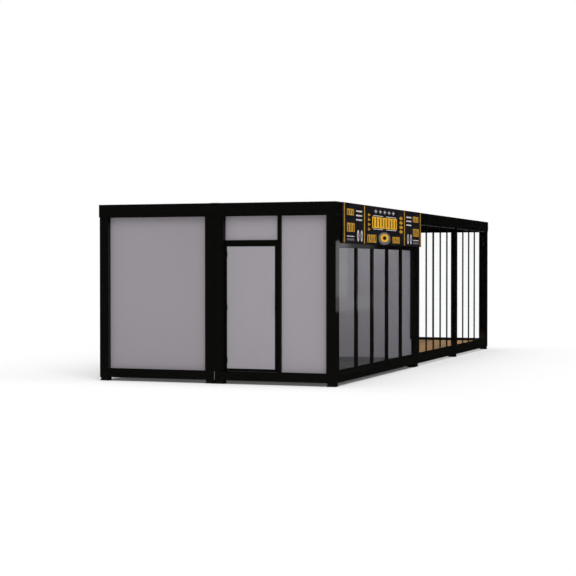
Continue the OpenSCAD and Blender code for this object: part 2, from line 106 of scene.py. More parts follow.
def srgb(*channels: int) -> Colour:
    """Turns a screen colour, with channels from 0 to 255, into the linear one that the shaders take."""
    shares = (value / 255 for value in channels)
    return tuple(s / 12.92 if s <= 0.04045 else ((s + 0.055) / 1.055) ** 2.4 for s in shares)


def scaled(colour: Colour, share: float) -> Colour:
    """Makes a colour darker or lighter."""
    return tuple(share * channel for channel in colour)


def evenly(low: float, high: float, count: int) -> list[float]:
    """Spaces some places evenly from low to high, both of them included."""
    return [low + (high - low) * i / (count - 1) for i in range(count)]


@dataclass
class Graph:
    """The nodes of one material or node group, with short ways to add and join them."""

    tree: bpy.types.NodeTree

    def add(self, kind: str, **values: object) -> Node:
        """Adds a node.

        Args:
            kind: Blender's name for the node's class, without ShaderNode in front.
            **values: Properties of the node.

        Returns:
            The new node.
        """
        node = self.tree.nodes.new(f"ShaderNode{kind}")
        for name, value in values.items():
            setattr(node, name, value)
        return node

    def put(self, target: Socket, value: object) -> None:
        """Fills one input.

        Args:
            target: The input.
            value: An output to link, a colour, or a plain value.
        """
        if isinstance(value, Socket):
            self.tree.links.new(value, target)
        else:
            target.default_value = (*value, 1.0) if target.type == "RGBA" else value

    def feed(self, node: Node, **inputs: object) -> Node:
        """Fills inputs of a node.

        Args:
            node: The node.
            **inputs: What to put in, by the input's name with an underscore for each blank.

        Returns:
            The same node.
        """
        for name, value in inputs.items():
            self.put(node.inputs[name.replace("_", " ")], value)
        return node

    def place(self) -> Socket:
        """Returns the object's own coordinates."""
        return self.add("TexCoord").outputs["Object"]

    def split(self, vector: Socket) -> Sockets:
        """Splits a vector into outputs named X, Y and Z."""
        return self.feed(self.add("SeparateXYZ"), Vector=vector).outputs

    def stretched(self, place: Socket, scale: Point) -> Socket:
        """Scales coordinates by a factor for each axis."""
        return self.feed(self.add("Mapping"), Vector=place, Scale=scale).outputs[0]

    def maths(self, operation: str, *values: object) -> Socket:
        """Adds a Math node.

        Args:
            operation: What it does.
            *values: Its inputs, as values or outputs.

        Returns:
            Its result.
        """
        node = self.add("Math", operation=operation)
        for target, value in zip(node.inputs, values):
            self.put(target, value)
        return node.outputs[0]

    def blend(self, share: object, first: object, second: object) -> Socket:
        """Mixes two colours.

        Args:
            share: How much of the second colour shows, a value or an output.
            first: First colour, a linear colour or an output.
            second: Second colour, a linear colour or an output.

        Returns:
            The mixed colour.
        """
        node = self.add("Mix", data_type="RGBA", blend_type="MIX")
        targets = (node.inputs["Factor"], *[s for s in node.inputs if s.type == "RGBA"])
        for target, value in zip(targets, (share, first, second)):
            self.put(target, value)
        return next(s for s in node.outputs if s.type == "RGBA")

    def over(self, share: Socket, amount: float, below: object, above: Colour) -> Socket:
        """Lays one colour over another by some amount of a share."""
        return self.blend(self.maths("MULTIPLY", share, amount), below, above)

    def span(self, value: Socket, low: float, high: float, to_low: float = 0.0,
             to_high: float = 1.0) -> Socket:
        """Stretches a value from one span to another and stops it at the ends.

        Args:
            value: The value.
            low: Lower end of the first span.
            high: Its upper end.
            to_low: What the lower end becomes.
            to_high: What the upper end becomes.

        Returns:
            The stretched value.
        """
        node = self.add("MapRange", clamp=True)
        self.feed(node, Value=value, From_Min=low, From_Max=high, To_Min=to_low, To_Max=to_high)
        return node.outputs["Result"]

    def noise(self, place: Socket, scale: object, detail: float = 3.0, roughness: float = 0.5) -> Socket:
        """Adds a noise texture and returns its value."""
        node = self.feed(self.add("TexNoise"), Vector=place, Scale=scale, Detail=detail, Roughness=roughness)
        return node.outputs["Fac"]

    def bump(self, height: Socket, strength: float, depth: float) -> Socket:
        """Turns a height into a normal, with the bump's strength and its depth in metres."""
        node = self.feed(self.add("Bump"), Strength=strength, Distance=depth, Height=height)
        return node.outputs["Normal"]

    def mixed(self, share: Socket, first: Node, second: Node) -> Node:
        """Mixes two shaders.

        Args:
            share: How much of the second shader shows.
            first: First shader.
            second: Second shader.

        Returns:
            The node that mixes them.
        """
        node = self.add("MixShader")
        for target, value in zip(node.inputs, (share, first.outputs[0], second.outputs[0])):
            self.put(target, value)
        return node

    def show(self, shader: Node) -> None:
        """Joins a shader to the material's output."""
        self.put(self.tree.nodes["Material Output"].inputs["Surface"], shader.outputs[0])


def painted(name: str) -> tuple[bpy.types.Material, Graph]:
    """Makes a material and returns it with its graph."""
    made = bpy.data.materials.new(name)
    made.use_nodes = True
    return made, Graph(made.node_tree)


def placed(name: str, data: bpy.types.ID) -> bpy.types.Object:
    """Puts a mesh, lamp or camera into the scene and returns its object."""
    made = bpy.data.objects.new(name, data)
    bpy.context.collection.objects.link(made)
    return made


class SharedEffects:
    """Node groups that several finishes use, each built once."""

    def __init__(self) -> None:
        """Starts with no group."""
        self._groups: dict[str, bpy.types.NodeTree] = {}

    def _group(self, graph: Graph, name: str, lay_out: Callable[[Graph, Sockets], dict[str, Socket]],
               defaults: dict[str, float], values: dict[str, float]) -> Sockets:
        """Puts a group into a material.

        Args:
            graph: The material's graph.
            name: Name of the group.
            lay_out: Adds the group's nodes after its inputs and returns its outputs by name.
            defaults: The group's inputs.
            values: What this material puts into them.

        Returns:
            The outputs of the group's node.
        """
        if name not in self._groups:
            tree = self._groups[name] = bpy.data.node_groups.new(name, "ShaderNodeTree")
            for label, value in defaults.items():
                made = tree.interface.new_socket(label, in_out="INPUT", socket_type="NodeSocketFloat")
                made.default_value = value
            inner = Graph(tree)
            found = lay_out(inner, tree.nodes.new("NodeGroupInput").outputs)
            for label in found:
                tree.interface.new_socket(label, in_out="OUTPUT", socket_type="NodeSocketFloat")
            inner.feed(tree.nodes.new("NodeGroupOutput"), **found)
        return graph.feed(graph.add("Group", node_tree=self._groups[name]), **values).outputs

    @staticmethod
    def _weathering(graph: Graph, given: Sockets) -> dict[str, Socket]:
        """Patchy dust that is thickest near the ground, streaks that run down, and a slow drift of tone."""
        place = graph.place()
        height = graph.maths("SUBTRACT", graph.split(place)["Z"], given["Ground"])
        low = graph.span(graph.maths("DIVIDE", height, given["Reach"]), 0.0, 1.0, 1.0, 0.0)
        cover = graph.span(graph.noise(place, given["Patch"], 5.0, 0.6), 0.3, 0.7, 0.25, 1.0)
        runs = graph.noise(graph.stretched(place, (9.0, 9.0, 0.35)), 1.6)
        return {"Dust": graph.maths("MULTIPLY", graph.maths("POWER", low, 2.0), cover),
                "Streak": graph.span(runs, 0.35, 0.75), "Drift": graph.noise(place, 0.45, 1.0)}

    @staticmethod
    def _texture(graph: Graph, given: Sockets) -> dict[str, Socket]:
        """A fine even texture in two sizes, such as sprayed powder or embossed sheet has."""
        place = graph.place()
        fine, wide = graph.noise(place, given["Grain"], 2.0), graph.noise(place, given["Swell"], 1.0)
        return {"Height": graph.maths("MULTIPLY_ADD", wide, 2.0, fine),
                "Speckle": graph.span(fine, 0.35, 0.65)}

    def weathering(self, graph: Graph, **values: float) -> Sockets:
        """Puts the weathering into a material and returns its outputs Dust, Streak and Drift."""
        return self._group(graph, "weathering", self._weathering,
                           {"Ground": 0.06, "Reach": 0.6, "Patch": 1.4}, values)

    def texture(self, graph: Graph, **values: float) -> Sockets:
        """Puts the fine texture into a material and returns its outputs Height and Speckle."""
        return self._group(graph, "fine_texture", self._texture, {"Grain": 260.0, "Swell": 9.0}, values)


EFFECTS = SharedEffects()


@dataclass(frozen=True)
class Finish:
    """A surface finish. Subclasses lay out the nodes in dress()."""

    name: str

    def dress(self, graph: Graph, shader: Node) -> None:
        """Joins the finish's own nodes to the Principled shader.

        Args:
            graph: The material's graph.
            shader: Its Principled shader.
        """
        raise NotImplementedError

    def material(self) -> bpy.types.Material:
        """Returns the finish's material, made on first use."""
        known = bpy.data.materials.get(self.name)
        if known:
            return known
        made, graph = painted(self.name)
        self.dress(graph, made.node_tree.nodes["Principled BSDF"])
        return made


@dataclass(frozen=True)
class Coat(Finish):
    """A finish with the fine texture, given by its two scales and by the strength and depth of its bump."""

    rough: Span = (0.5, 0.62)
    gloss: float = 0.2
    grain: Span = (300.0, 20.0)
    relief: Span = (0.1, 0.0004)

    def layers(self, graph: Graph, speckle: Socket) -> tuple[Socket, Socket]:
        """Lays out the colour and the wear.

        Args:
            graph: The material's graph.
            speckle: The texture's speckle.

        Returns:
            The colour, and a value from 0 to 1 that the roughness follows.
        """
        raise NotImplementedError

    def dress(self, graph: Graph, shader: Node) -> None:
        """Joins colour, roughness, sheen and bump."""
        texture = EFFECTS.texture(graph, Grain=self.grain[0], Swell=self.grain[1])
        colour, wear = self.layers(graph, texture["Speckle"])
        graph.feed(shader, Base_Color=colour, Roughness=graph.span(wear, 0.0, 1.0, *self.rough),
                   Specular_IOR_Level=self.gloss, Normal=graph.bump(texture["Height"], *self.relief))


@dataclass(frozen=True)
class PowderCoat(Coat):
    """Smooth coat on steel with a clear sheen, a faint orange-peel texture and a little dust low down."""

    rough: Span = (0.054, 0.072)
    gloss: float = 1.0
    grain: Span = (420.0, 30.0)
    relief: Span = (0.01, 0.0004)
    colour: Colour = srgb(11, 11, 9)
    dust: Colour = srgb(46, 44, 40)
    dustiness: float = 0.06
    drift: float = 0.14

    def layers(self, graph: Graph, speckle: Socket) -> tuple[Socket, Socket]:
        """Lays dust over a tone that drifts, and roughens it in streaks."""
        age = EFFECTS.weathering(graph, Reach=0.5)
        tone = graph.blend(age["Drift"], scaled(self.colour, 1 - self.drift),
                           scaled(self.colour, 1 + self.drift))
        return graph.over(age["Dust"], self.dustiness, tone, self.dust), age["Streak"]


@dataclass(frozen=True)
class PanelSheet(Coat):
    """Matt coated sheet of a sandwich panel, embossed a little, with faint runs down its face."""

    gloss: float = 0.25
    grain: Span = (180.0, 5.0)
    relief: Span = (0.1, 0.0006)
    colour: Colour = srgb(149, 144, 150)
    dust: Colour = srgb(112, 106, 98)
    dustiness: float = 0.10
    drift: float = 0.05
    streaks: float = 0.05

    def layers(self, graph: Graph, speckle: Socket) -> tuple[Socket, Socket]:
        """Lays streaks and dust over a tone that drifts."""
        age = EFFECTS.weathering(graph, Reach=0.45, Patch=2.2)
        tone = graph.blend(age["Drift"], scaled(self.colour, 1 - self.drift),
                           scaled(self.colour, 1 + self.drift))
        marked = graph.over(age["Streak"], self.streaks, tone, scaled(self.colour, 0.7))
        return graph.over(age["Dust"], self.dustiness, marked, self.dust), speckle


@dataclass(frozen=True)
class RoofSheet(Coat):
    """Dark coated roof sheet with settled dust in broad patches, and a ceiling tone on its underside."""

    rough: Span = (0.5, 0.75)
    grain: Span = (150.0, 4.0)
    relief: Span = (0.15, 0.0008)
    colour: Colour = srgb(52, 53, 54)
    dust: Colour = srgb(104, 100, 94)
    dustiness: float = 0.3
    below: Colour = srgb(186, 184, 188)

    def layers(self, graph: Graph, speckle: Socket) -> tuple[Socket, Socket]:
        """Lays dust on the upper face in patches, which are also rougher."""
        patches = graph.span(graph.noise(graph.place(), 1.5, 6.0, 0.65), 0.42, 0.7)
        facing = graph.split(graph.add("NewGeometry").outputs["True Normal"])["Z"]
        top = graph.over(patches, self.dustiness, self.colour, self.dust)
        return graph.blend(graph.maths("LESS_THAN", facing, -0.5), top, self.below), patches


@dataclass(frozen=True)
class Timber(Finish):
    """Oiled deck boards: grain along the boards, a tone of its own for each board, fine grooves."""

    pale: Colour = srgb(206, 166, 118)
    dark: Colour = srgb(164, 119, 74)
    board_pitch: float = 0.146
    start: float = 0.0
    groove_pitch: float = 0.0125

    def dress(self, graph: Graph, shader: Node) -> None:
        """Joins colour, roughness and bump."""
        place = graph.split(graph.place())
        across = graph.maths("SUBTRACT", place["X"], self.start)
        number = graph.maths("FLOOR", graph.maths("DIVIDE", across, self.board_pitch))
        tone = graph.feed(graph.add("TexWhiteNoise", noise_dimensions="1D"), W=number).outputs["Value"]
        shifted = graph.feed(graph.add("CombineXYZ"), X=place["X"],
                             Y=graph.maths("MULTIPLY_ADD", number, 3.7, place["Y"])).outputs[0]
        rings = graph.noise(graph.stretched(shifted, (26.0, 1.1, 26.0)), 1.6, 5.0, 0.62)
        share = graph.maths("MULTIPLY_ADD", tone, 0.45, graph.span(rings, 0.3, 0.7, 0.0, 0.55))
        groove = graph.maths("PINGPONG", across, self.groove_pitch / 2)
        relief = graph.maths("MULTIPLY_ADD", rings, 0.3, graph.span(groove, 0.0, self.groove_pitch / 5))
        graph.feed(shader, Base_Color=graph.blend(share, self.pale, self.dark),
                   Roughness=graph.span(rings, 0.3, 0.7, 0.5, 0.68), Specular_IOR_Level=0.3,
                   Normal=graph.bump(relief, 0.5, 0.0015))


@dataclass(frozen=True)
class Glazing(Finish):
    """Clear or tinted glass with a faint film on it, which bends light very little."""

    tint: Colour = (0.985, 0.99, 0.988)
    shade: Colour = (0.95, 0.97, 0.96)
    ior: float = 1.08

    def dress(self, graph: Graph, shader: Node) -> None:
        """Joins the film's tone, and lets shadow rays through in a tint of their own."""
        haze = graph.span(graph.noise(graph.place(), 0.8, 4.0), 0.3, 0.7)
        graph.feed(shader, Base_Color=graph.blend(haze, self.tint, scaled(self.tint, 0.985)), Roughness=0.0,
                   Transmission_Weight=1.0, IOR=self.ior)
        clear = graph.feed(graph.add("BsdfTransparent"), Color=self.shade)
        graph.show(graph.mixed(graph.add("LightPath").outputs["Is Shadow Ray"], shader, clear))


@dataclass(frozen=True)
class SheetFloor(Coat):
    """Speckled sheet flooring with a worn sheen."""

    rough: Span = (0.34, 0.5)
    gloss: float = 0.5
    grain: Span = (240.0, 2.0)
    relief: Span = (0.05, 0.0003)
    colour: Colour = srgb(92, 91, 89)

    def layers(self, graph: Graph, speckle: Socket) -> tuple[Socket, Socket]:
        """Speckles the colour, and roughens it in worn patches."""
        wear = graph.span(graph.noise(graph.place(), 1.3), 0.35, 0.7)
        return graph.blend(speckle, scaled(self.colour, 0.8), self.colour), wear


@dataclass(frozen=True)
class Print(Coat):
    """Matt printed board or cut film, with a chalky unevenness."""

    rough: Span = (0.6, 0.72)
    relief: Span = (0.08, 0.0003)
    colour: Colour = srgb(26, 22, 28)
    chalk: Colour = srgb(52, 47, 54)
    patch: float = 4.0
    amount: float = 0.5

    def layers(self, graph: Graph, speckle: Socket) -> tuple[Socket, Socket]:
        """Lays clouds of chalk over the colour."""
        clouds = graph.noise(graph.stretched(graph.place(), (1.0, 0.4, 1.6)), self.patch, 6.0, 0.7)
        return graph.over(graph.span(clouds, 0.4, 0.72), self.amount, self.colour, self.chalk), speckle


@dataclass(frozen=True)
class BrushedMetal(Finish):
    """Bare metal brushed along X, dulled by feet and hands."""

    colour: Colour = srgb(150, 150, 150)
    roughness: float = 0.3

    def dress(self, graph: Graph, shader: Node) -> None:
        """Joins colour, roughness and bump."""
        brush = graph.noise(graph.stretched(graph.place(), (6.0, 900.0, 900.0)), 1.0, 2.0)
        worn = graph.blend(brush, scaled(self.colour, 0.75), self.colour)
        graph.feed(shader, Base_Color=worn, Metallic=1.0,
                   Roughness=graph.span(brush, 0.3, 0.7, self.roughness - 0.08, self.roughness + 0.1),
                   Normal=graph.bump(brush, 0.1, 0.0002))


@dataclass(frozen=True)
class Rubber(Coat):
    """Matt rubber with a dusty bloom."""

    rough: Span = (0.7, 0.85)
    gloss: float = 0.1
    grain: Span = (500.0, 40.0)
    colour: Colour = srgb(12, 12, 12)
    bloom: Colour = srgb(74, 70, 64)
    dustiness: float = 0.06

    def layers(self, graph: Graph, speckle: Socket) -> tuple[Socket, Socket]:
        """Lays dust over the colour."""
        dust = EFFECTS.weathering(graph, Ground=0.0, Reach=0.2)["Dust"]
        return graph.over(dust, self.dustiness, self.colour, self.bloom), speckle


@dataclass(frozen=True)
class Finishes:
    """Every finish of the kiosk."""

    steel: Finish = PowderCoat("steel_powder_coat")
    # Light grey coat of the panes' top rails: partly their own colour, partly a painted reflection along
    # their underside.
    bead: Finish = PowderCoat("pane_rail_coat_painted_reflection", (0.27, 0.36), 0.4, colour=srgb(88, 88, 92))
    panel: Finish = PanelSheet("panel_sheet")
    # The left gable panel takes a slightly darker copy of the panel sheet, which is painted shade on the
    # same material.
    panel_painted_shade_left: Finish = PanelSheet("panel_sheet_painted_shade_left", colour=srgb(145, 140, 146))
    lining: Finish = PanelSheet("lining_sheet", colour=srgb(188, 186, 192), streaks=0.0)
    roof: Finish = RoofSheet("roof_sheet")
    terrace_roof: Finish = RoofSheet("terrace_roof_sheet", below=srgb(3, 3, 3))
    floor: Finish = SheetFloor("sheet_flooring")
    deck: Finish = Timber("deck_timber", start=-2.019)
    room_glass: Finish = Glazing("insulating_glass", (0.85, 0.842, 0.858), (0.45, 0.45, 0.46), 1.18)
    terrace_glass: Finish = Glazing("toughened_glass", tint=(0.995, 0.998, 0.996), ior=1.01)
    board: Finish = Print("sign_ground")
    amber: Finish = Print("sign_amber", colour=srgb(238, 178, 12), chalk=srgb(184, 132, 18), patch=7.0)
    mustard: Finish = Print("sign_mustard", colour=srgb(192, 144, 26), chalk=srgb(124, 90, 22), patch=7.0)
    ochre: Finish = Print("sign_ochre", colour=srgb(104, 72, 20), chalk=srgb(62, 44, 22), patch=7.0)
    pale: Finish = Print("sign_pale", colour=srgb(206, 202, 206), chalk=srgb(130, 126, 132), patch=7.0)
    dove: Finish = Print("sign_grey", colour=srgb(112, 108, 114), chalk=srgb(70, 66, 72), patch=7.0)
    threshold: Finish = BrushedMetal("threshold_metal", srgb(58, 58, 57), 0.5)
    screw: Finish = BrushedMetal("screw_metal")
    seal: Finish = Rubber("seal_rubber")
    # Pale grey strip in the joint between the modules: painted light, for the bright ground seen through the
    # narrow joint.
    pale_strip_painted_light: Finish = Rubber("joint_strip_painted_light", colour=srgb(116, 116, 116))
    foot: Finish = Rubber("foot_rubber")


FINISH = Finishes()


@dataclass(frozen=True)
class Plan:
    """Sizes of the kiosk that the fine detail follows, in metres, and the outer faces of its posts."""

    post: float = 0.165
    seam: float = 0.012
    base_top: float = 0.210
    floor_top: float = 0.180
    soffit: float = 2.860
    left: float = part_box("room_corner_posts")[0].x
    right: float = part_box("room_corner_posts")[1].x
    near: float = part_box("room_corner_posts")[0].y
    room_end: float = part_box("room_corner_posts")[1].y
    far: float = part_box("terrace_corner_posts")[1].y

    @property
    def middle(self) -> float:
        """Middle of the joint between the two modules."""
        return (self.left + self.right) / 2


PLAN = Plan()


def islands(*nodes: str) -> list[tuple[Vector, Vector]]:
    """Finds the separate solids of some nodes.

    Args:
        *nodes: Names of the frame's nodes.

    Returns:
        The lowest and highest corner of each solid.
    """
    spans = []
    for name in nodes:
        work = bmesh.new()
        work.from_mesh(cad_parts[name].data)
        bmesh.ops.remove_doubles(work, verts=work.verts, dist=1e-5)
        seen: set[int] = set()
        for start in work.verts:
            if start.index in seen:
                continue
            solid, queue = [], [start]
            seen.add(start.index)
            while queue:
                vert = queue.pop()
                solid.append(vert.co.copy())
                for other in (edge.other_vert(vert) for edge in vert.link_edges):
                    if other.index not in seen:
                        seen.add(other.index)
                        queue.append(other)
            spans.append((Vector(map(min, *solid)), Vector(map(max, *solid))))
        work.free()
    return spans


@dataclass(frozen=True)
class Head:
    """Head of a screw or lock: its size, and how far its middle stands off the face that carries it."""

    radius: float
    height: float
    stand: float
    taper: float = 0.8
    sides: int = 12


@dataclass
class Piece:
    """One new piece while it is being shaped with bmesh operators."""

    name: str
    finish: Finish
    slot: Slot = Slot.FRAME
    body: Body = Body.BUILDING
    bm: bmesh.types.BMesh = field(default_factory=bmesh.new)

    def bar(self, low: Sequence[float], high: Sequence[float], edge: float = 0.0015,
            segments: int = 1) -> None:
        """Adds a bar with bevelled edges.

        Args:
            low: Its lowest corner.
            high: Its highest corner.
            edge: Width of the bevel.
            segments: Segments of the bevel.
        """
        corner, other = Vector(low), Vector(high)
        size = other - corner
        place = Matrix.Translation((corner + other) / 2) @ Matrix.Diagonal((*size, 1.0))
        made = bmesh.ops.create_cube(self.bm, size=1.0, matrix=place)
        edges = list(dict.fromkeys(e for v in made["verts"] for e in v.link_edges))
        bmesh.ops.bevel(self.bm, geom=edges, offset=min(edge, 0.35 * min(size)), segments=segments,
                        affect="EDGES", profile=0.5, material=-1, clamp_overlap=True)

    def ring(self, low: Point, high: Point, width: float, edge: float = 0.001) -> None:
        """Adds a rectangular frame that runs round a plate which lies in a plane of X or Y.

        Args:
            low: Lowest corner of the frame.
            high: Highest corner of the frame.
            width: Width of its members.
            edge: Width of their bevels.
        """
        run = 0 if high[0] - low[0] > high[1] - low[1] else 1
        for z0, z1 in ((low[2], low[2] + width), (high[2] - width, high[2])):
            self.bar((*low[:2], z0), (*high[:2], z1), edge)
        for start in (low[run], high[run] - width):
            a, b = list(low), list(high)
            a[run], b[run] = start, start + width
            a[2], b[2] = low[2] + width, high[2] - width
            self.bar(a, b, edge)

    def round_bar(self, centre: Point, radius: float, length: float, axis: Axis = Axis.Z,
                  taper: float = 1.0, sides: int = 12, squash: Point = (1.0, 1.0, 1.0)) -> None:
        """Adds a closed cylinder or cone.

        Args:
            centre: Its middle.
            radius: Radius at its foot.
            length: Length along its axis.
            axis: Direction of its axis.
            taper: Radius at its top as a share of that at its foot.
            sides: Sides round it.
            squash: Stretch along the frame's axes.
        """
        place = Matrix.Translation(centre) @ Matrix.Diagonal((*squash, 1.0)) @ axis.value
        bmesh.ops.create_cone(self.bm, cap_ends=True, cap_tris=False, segments=sides, radius1=radius,
                              radius2=radius * taper, depth=length, matrix=place)

    def head(self, place: Point, head: Head, axis: Axis = Axis.Z, way: int = 1) -> None:
        """Adds a head.

        Args:
            place: Where its middle meets the face that carries it.
            head: Its size.
            axis: Direction of its axis.
            way: 1 where it stands off the face along the axis, and -1 where it stands off against it.
        """
        off = axis.value @ Vector((0.0, 0.0, way * head.stand))
        self.round_bar(Vector(place) + off, head.radius, head.height, axis, head.taper, head.sides)

    def done(self, smooth: bool = False) -> bpy.types.Object:
        """Turns the shape into an object that rides on its body.

        Args:
            smooth: Whether faces that meet at a low angle are shaded as one.

        Returns:
            The object.
        """
        bmesh.ops.recalc_face_normals(self.bm, faces=self.bm.faces)
        mesh = bpy.data.meshes.new(self.name)
        self.bm.to_mesh(mesh)
        self.bm.free()
        mesh.materials.append(self.finish.material())
        if smooth:
            mesh.shade_smooth()
            mesh.set_sharp_from_angle(angle=math.radians(40))
        made = placed(self.name, mesh)
        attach(made, self.body.value)
        LOG.info("%s: %d faces, rides on %s", self.name, len(mesh.polygons), self.body.value)
        return made


@dataclass
class DressedFrame:
    """Gives each of the frame's own nodes its finish."""

    finishes: dict[str, Finish] = field(default_factory=lambda: {
        "feet": FINISH.foot, "room_floor": FINISH.floor, "terrace_deck": FINISH.deck,
        "room_roof": FINISH.roof, "terrace_roof": FINISH.terrace_roof, "gable_panel_left": FINISH.panel_painted_shade_left,
        "gable_panel_right": FINISH.panel, "transom_panel": FINISH.panel, "door_infill": FINISH.panel,
        "left_wall_panels": FINISH.panel, "end_wall_panels": FINISH.lining,
        "door_threshold": FINISH.threshold, "side_glass": FINISH.room_glass,
        "terrace_glass_right": FINISH.terrace_glass, "terrace_glass_left": FINISH.terrace_glass,
        "terrace_glass_end": FINISH.terrace_glass, "sign_board": FINISH.board,
    })

    def build(self) -> None:
        """Puts the finishes on, with the steel's on every node that has none of its own."""
        for name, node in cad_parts.items():
            finish = self.finishes.get(name, FINISH.steel)
            for place in node.material_slots:
                place.material = finish.material()
            LOG.info("%s: %s", name, finish.name)


@dataclass
class Seam:
    """Shoes under the posts at the joint between the modules, and a pale strip in that joint which paints
    the light seen through it.
    """

    pale_strip_inset: float = 0.005
    pale_strip_reach: float = 0.03

    def shoes(self) -> None:
        """Adds the shoes that carry the posts on the lower beams along the joint."""
        piece = Piece("seam_post_shoes", FINISH.steel)
        for posts, floor in (("room_seam_posts", "room_floor"), ("terrace_seam_posts", "terrace_deck")):
            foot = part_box(floor)[0].z
            for low, high in islands(posts):
                piece.bar((low.x, low.y, foot), (high.x, high.y, low.z), 0.0008)
        piece.done()

    def pale_strip_painted_light(self) -> None:
        """Adds a pale grey strip in the joint between the base beams in both gables: painted light, for the
        bright ground seen through that narrow joint.
        """
        piece = Piece("seam_strip_painted_light", FINISH.pale_strip_painted_light)
        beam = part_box("room_base_beams")[0]
        for start, way in ((PLAN.near, 1), (PLAN.far, -1)):
            ends = sorted((start + way * self.pale_strip_inset, start + way * self.pale_strip_reach))
            piece.bar((PLAN.middle - PLAN.seam / 2, ends[0], beam.z),
                      (PLAN.middle + PLAN.seam / 2, ends[1], PLAN.base_top), 0.002, 2)
        piece.done()

    def build(self) -> None:
        """Builds the joint's pieces."""
        self.shoes()
        self.pale_strip_painted_light()


@dataclass
class Gable:
    """Seals round the fixed panels of the gable with the door, and ribs on its threshold."""

    seal: float = 0.006
    seal_depth: float = 0.004
    ribs: int = 7
    rib: Span = (0.0028, 0.0012)
    rib_margin: float = 0.02
    first_rib: float = 0.022
    leaf_gap: float = 0.004

    def seals(self) -> None:
        """Adds the black seals round the fixed panels."""
        piece = Piece("gable_panel_seals", FINISH.seal)
        for node in ("gable_panel_left", "gable_panel_right", "transom_panel"):
            low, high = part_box(node)
            piece.ring((low.x, low.y - self.seal_depth, low.z), (high.x, low.y, high.z), self.seal)
        piece.done()

    def threshold_ribs(self) -> None:
        """Adds the fine ribs along the threshold plate, in front of the leaf."""
        low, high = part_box("door_threshold")
        piece = Piece("threshold_ribs", FINISH.threshold, Slot.THRESHOLD)
        width, height = self.rib
        for y in evenly(low.y + self.first_rib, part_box("door_stiles")[0].y - self.leaf_gap, self.ribs):
            piece.bar((low.x + self.rib_margin, y, high.z - BED),
                      (high.x - self.rib_margin, y + width, high.z + height), 0.0005)
        piece.done()

    def build(self) -> None:
        """Builds the gable's pieces."""
        self.seals()
        self.threshold_ribs()


@dataclass
class DoorLeaf:
    """Seals, lock cylinders and hinge screws of the door leaf."""

    seal: float = 0.005
    seal_inset: float = 0.0005
    lock: Head = Head(0.0052, 0.0016, 0.0008, 0.9, 24)
    lock_inset: float = 0.020
    lock_height: float = 1.188
    boss: float = 0.012
    key_slot: Point = (0.0014, 0.0022, 0.0072)
    hinges: int = 3
    hinge_plate: Span = (0.092, 0.002)
    screw: Head = Head(0.0042, 0.0018, 0.0008)
    screw_inset: float = 0.009
    screws_at: Point = (0.12, 0.5, 0.88)

    def seals(self) -> None:
        """Adds a bead round the infill on both faces."""
        low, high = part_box("door_infill")
        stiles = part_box("door_stiles")
        piece = Piece("door_infill_seals", FINISH.seal, body=Body.DOOR)
        for y in ((stiles[0].y + self.seal_inset, low.y), (high.y, stiles[1].y - self.seal_inset)):
            piece.ring((low.x, y[0], low.z), (high.x, y[1], high.z), self.seal, 0.0008)
        piece.done()

    def lock_cylinders(self) -> None:
        """Adds the lock's round face with its key slot to both ends of its boss."""
        piece = Piece("lock_cylinders", FINISH.screw, body=Body.DOOR)
        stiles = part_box("door_stiles")
        x, z = stiles[1].x - self.lock_inset, self.lock_height
        width, depth, height = self.key_slot
        for y, way in ((stiles[0].y - self.boss, -1), (stiles[1].y + self.boss, 1)):
            piece.head((x, y, z), self.lock, Axis.Y, way)
            piece.bar((x - width / 2, y + min(0, way * depth), z - height / 2),
                      (x + width / 2, y + max(0, way * depth), z + height / 2), 0.0003)
        piece.done(smooth=True)

    def hinge_screws(self) -> None:
        """Adds the screw heads of the hinge plates on the leaf."""
        low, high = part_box("hinge_leaf_side")
        piece = Piece("hinge_screws", FINISH.screw, body=Body.DOOR)
        height, thickness = self.hinge_plate
        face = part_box("door_stiles")[0].y - thickness
        for foot in evenly(low.z, high.z - height, self.hinges):
            for share in self.screws_at:
                piece.head((high.x - self.screw_inset, face, foot + height * share), self.screw, Axis.Y, -1)
        piece.done(smooth=True)

    def build(self) -> None:
        """Builds the leaf's pieces."""
        self.seals()
        self.lock_cylinders()
        self.hinge_screws()


